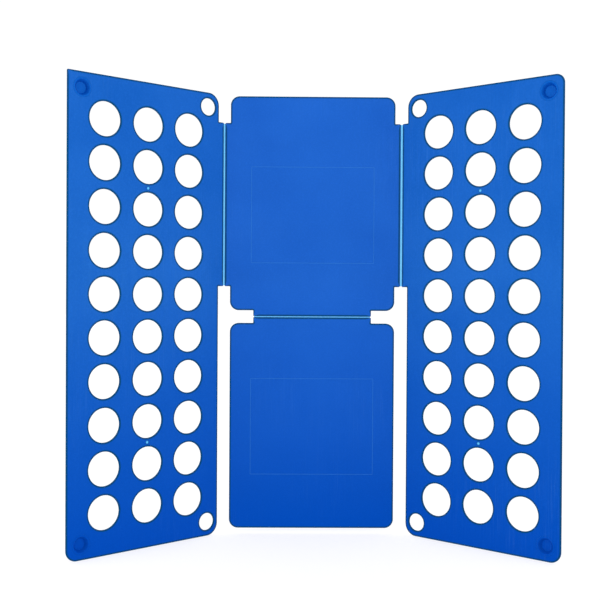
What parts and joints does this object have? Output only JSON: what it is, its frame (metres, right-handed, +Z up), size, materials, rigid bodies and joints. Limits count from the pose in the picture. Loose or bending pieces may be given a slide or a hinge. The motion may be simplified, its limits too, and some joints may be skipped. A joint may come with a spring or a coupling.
{
  "type": "shirt folding board",
  "caption": "Hinged plastic board for folding shirts: a flat centre that folds in half and a perforated wing on each side, standing open like a screen.",
  "frame": {"origin": "on the floor, in the middle of the board's width and depth as it stands open", "axes": "+Z up the board; the folding face looks along -Y and both wings are swung forward towards -Y; +X to the right seen from the front"},
  "size_m": [0.5948, 0.1512, 0.59],
  "materials": {
    "centre_blue": "moulded polypropylene, fine satin",
    "wing_blue": "moulded polypropylene, fine satin",
    "hinge_film": "thin translucent polypropylene film",
    "stud_blue": "moulded polypropylene, satin"
  },
  "bodies": {
    "upper_centre": {"upper_centre_panel": "centre_blue", "left_hinge_film": "hinge_film", "right_hinge_film": "hinge_film", "centre_hinge_film": "hinge_film"},
    "lower_centre": {"lower_centre_panel": "centre_blue"},
    "left_wing": {"left_wing_panel": "wing_blue", "left_top_stud": "stud_blue", "left_bottom_stud": "stud_blue"},
    "right_wing": {"right_wing_panel": "wing_blue", "right_top_stud": "stud_blue", "right_bottom_stud": "stud_blue"}
  },
  "joints": [
    {"name": "left_wing_fold", "type": "hinge", "parent": "upper_centre", "child": "left_wing", "pos_m": [-0.1188, 0.07265, 0.443], "axis": [0, 0, 1], "range_deg": [-40.2, 139.8], "deforming": ["left_hinge_film"]},
    {"name": "right_wing_fold", "type": "hinge", "parent": "upper_centre", "child": "right_wing", "pos_m": [0.1188, 0.0717, 0.443], "axis": [0, 0, -1], "range_deg": [-40.2, 139.8], "deforming": ["right_hinge_film"]},
    {"name": "lower_centre_fold", "type": "hinge", "parent": "upper_centre", "child": "lower_centre", "pos_m": [0, 0.07385, 0.2922], "axis": [-1, 0, 0], "range_deg": [0, 179.9], "deforming": ["centre_hinge_film"]}
  ]
}
